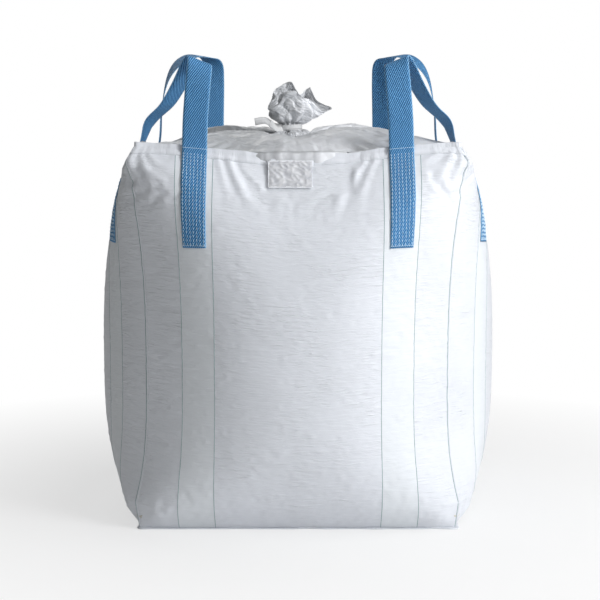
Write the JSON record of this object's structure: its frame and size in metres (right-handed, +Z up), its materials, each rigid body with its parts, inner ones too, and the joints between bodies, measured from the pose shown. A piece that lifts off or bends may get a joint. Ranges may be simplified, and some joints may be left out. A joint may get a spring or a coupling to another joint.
{
  "type": "bulk bag",
  "caption": "Filled woven bulk bag, bulging between pinched corners, with webbing lifting loops across its corners and a duffle top gathered and tied in the middle.",
  "frame": {"origin": "centre of the base on the ground", "axes": "+Z up, -Y towards the front wall with the document pouch, +X to the right seen from the front"},
  "size_m": [1.2094, 1.2094, 1.3932],
  "materials": {
    "woven_fabric": "satin",
    "marker_thread": "matte",
    "loop_thread": "matte",
    "loop_webbing": "matte",
    "duffle_film": "gloss",
    "tie_tape": "satin",
    "pouch_film": "gloss",
    "card": "matte",
    "fill": "matte"
  },
  "bodies": {
    "bag": {"front_panel": "woven_fabric", "right_panel": "woven_fabric", "back_panel": "woven_fabric", "left_panel": "woven_fabric", "base_panel": "woven_fabric", "rim_hem": "woven_fabric", "base_seam": "woven_fabric", "pouch_hem_strip": "woven_fabric", "front_right_corner_seam": "marker_thread", "back_right_corner_seam": "marker_thread", "back_left_corner_seam": "marker_thread", "front_left_corner_seam": "marker_thread", "front_marker_threads": "marker_thread", "right_marker_threads": "marker_thread", "back_marker_threads": "marker_thread", "left_marker_threads": "marker_thread", "front_leg_stitching": "loop_thread", "right_leg_stitching": "loop_thread", "back_leg_stitching": "loop_thread", "left_leg_stitching": "loop_thread", "front_right_loop_front_leg": "loop_webbing", "front_right_loop_side_leg": "loop_webbing", "back_right_loop_back_leg": "loop_webbing", "back_right_loop_side_leg": "loop_webbing", "back_left_loop_back_leg": "loop_webbing", "back_left_loop_side_leg": "loop_webbing", "front_left_loop_front_leg": "loop_webbing", "front_left_loop_side_leg": "loop_webbing", "duffle_skirt": "duffle_film", "duffle_tie": "tie_tape", "bulk_fill": "fill"},
    "front_right_loop": {"front_right_loop_bight": "loop_webbing"},
    "back_right_loop": {"back_right_loop_bight": "loop_webbing"},
    "back_left_loop": {"back_left_loop_bight": "loop_webbing"},
    "front_left_loop": {"front_left_loop_bight": "loop_webbing"},
    "tail": {"duffle_tail": "duffle_film"},
    "pouch": {"document_pouch": "pouch_film"},
    "card": {"document_card": "card"}
  },
  "joints": [
    {"name": "front_right_loop_fold", "type": "hinge", "parent": "bag", "child": "front_right_loop", "pos_m": [0.288, -0.4515, 1.1114], "axis": [0.7071, 0.7071, 0], "range_deg": [-45, 90]},
    {"name": "back_right_loop_fold", "type": "hinge", "parent": "bag", "child": "back_right_loop", "pos_m": [0.288, 0.4515, 1.1114], "axis": [-0.7071, 0.7071, 0], "range_deg": [-65, 90]},
    {"name": "back_left_loop_fold", "type": "hinge", "parent": "bag", "child": "back_left_loop", "pos_m": [-0.288, 0.4515, 1.1114], "axis": [-0.7071, -0.7071, 0], "range_deg": [-65, 90]},
    {"name": "front_left_loop_fold", "type": "hinge", "parent": "bag", "child": "front_left_loop", "pos_m": [-0.288, -0.4515, 1.1114], "axis": [0.7071, -0.7071, 0], "range_deg": [-45, 90]},
    {"name": "tail_flop", "type": "hinge", "parent": "bag", "child": "tail", "pos_m": [-0.024, 0, 1.176], "axis": [0, 1, 0], "range_deg": [-35, 35]},
    {"name": "pouch_lift", "type": "hinge", "parent": "bag", "child": "pouch", "pos_m": [-0.022, -0.464, 1.051], "axis": [-1, 0, 0], "range_deg": [0, 110]},
    {"name": "card_slide", "type": "slide", "parent": "pouch", "child": "card", "axis": [1, 0, 0], "range_m": [0, 0.09]}
  ]
}
